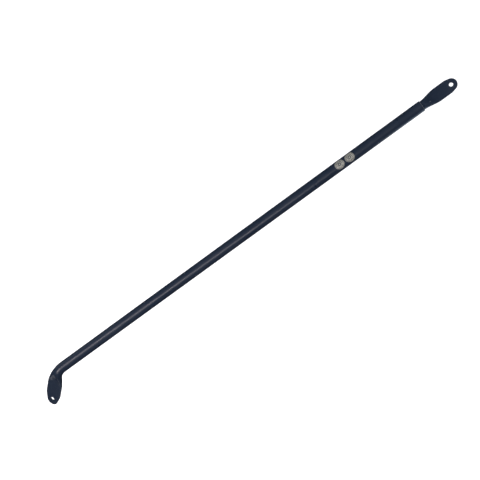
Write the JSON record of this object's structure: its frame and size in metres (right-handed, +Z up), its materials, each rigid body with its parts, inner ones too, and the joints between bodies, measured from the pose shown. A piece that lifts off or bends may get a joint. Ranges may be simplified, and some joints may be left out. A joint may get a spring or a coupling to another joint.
{
  "type": "tubular stay bar",
  "caption": "Slim painted steel stay bar: a long round tube with a pressed, drilled eye at each end, one on a bent leg, for bracing two points apart.",
  "frame": {"origin": "centre of the straight eye's hole, half way through the pressed plate", "axes": "+X along the bar towards the bent leg, +Z up along the straight eye's hole, +Y completing a right-handed frame"},
  "size_m": [1.0779, 0.0541, 0.0784],
  "materials": {
    "tube_paint": "satin",
    "label_foil": "semi-gloss foil"
  },
  "bodies": {
    "root": {"main_tube": "tube_paint", "end_tube": "tube_paint", "label_near": "label_foil", "label_far": "label_foil"}
  },
  "joints": []
}
